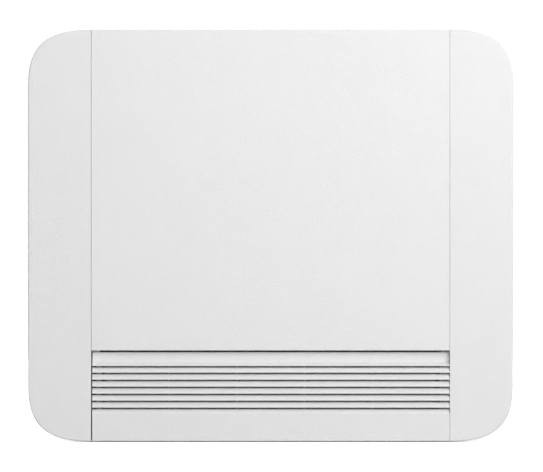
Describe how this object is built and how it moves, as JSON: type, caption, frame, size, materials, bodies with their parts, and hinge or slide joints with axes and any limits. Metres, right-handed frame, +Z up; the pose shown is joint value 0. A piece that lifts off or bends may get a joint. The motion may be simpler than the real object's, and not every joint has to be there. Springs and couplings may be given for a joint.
{
  "type": "floor standing fan coil unit",
  "caption": "Floor standing fan coil unit with rounded moulded side covers, folded steel front panel, low intake louvre grille and top outlet grille over a cross-flow fan and coil",
  "frame": {"origin": "middle of the footprint, on the floor", "axes": "+X to the right as seen from the room, +Y to the wall behind, +Z up"},
  "size_m": [0.7, 0.21, 0.595],
  "materials": {
    "white_cover": "fine-grained white moulding",
    "white_steel": "fine-grained white powder coat on folded steel",
    "galvanised_steel": "galvanised sheet with a fine spangle",
    "fin_aluminium": "thin plain aluminium fins",
    "wheel_aluminium": "plain aluminium blades",
    "copper": "drawn copper tube",
    "brass": "machined brass",
    "black_plastic": "black moulding",
    "filter_grey": "grey filter frame",
    "filter_net": "grey woven net",
    "foam": "closed-cell foam lining",
    "motor_paint": "dark enamel",
    "box_grey": "light grey moulding"
  },
  "bodies": {
    "root": {"left_side_cover": "white_cover", "right_side_cover": "white_cover", "intake_grille": "white_cover", "outlet_frame": "white_cover", "outlet_blades": "white_cover", "front_panel": "white_steel", "left_bulkhead": "galvanised_steel", "right_bulkhead": "galvanised_steel", "back_plate": "galvanised_steel", "base_plate": "galvanised_steel", "top_rail": "galvanised_steel", "duct_front": "galvanised_steel", "fan_scroll": "galvanised_steel", "fan_tongue": "galvanised_steel", "motor_plate": "galvanised_steel", "coil_left_plate": "galvanised_steel", "coil_right_plate": "galvanised_steel", "coil_fins": "fin_aluminium", "fan_wheel": "wheel_aluminium", "coil_return_bends": "copper", "coil_cross_bends": "copper", "supply_header": "copper", "return_header": "copper", "supply_valve": "brass", "return_valve": "brass", "air_vent": "brass", "supply_valve_cap": "black_plastic", "return_valve_cap": "black_plastic", "cable_gland": "black_plastic", "drip_tray": "black_plastic", "valve_tray": "black_plastic", "fan_bearing": "black_plastic", "filter_frame": "filter_grey", "filter_mesh": "filter_net", "duct_front_lining": "foam", "duct_rear_lining": "foam", "fan_motor": "motor_paint", "control_box": "box_grey", "control_box_lid": "box_grey"}
  },
  "joints": []
}
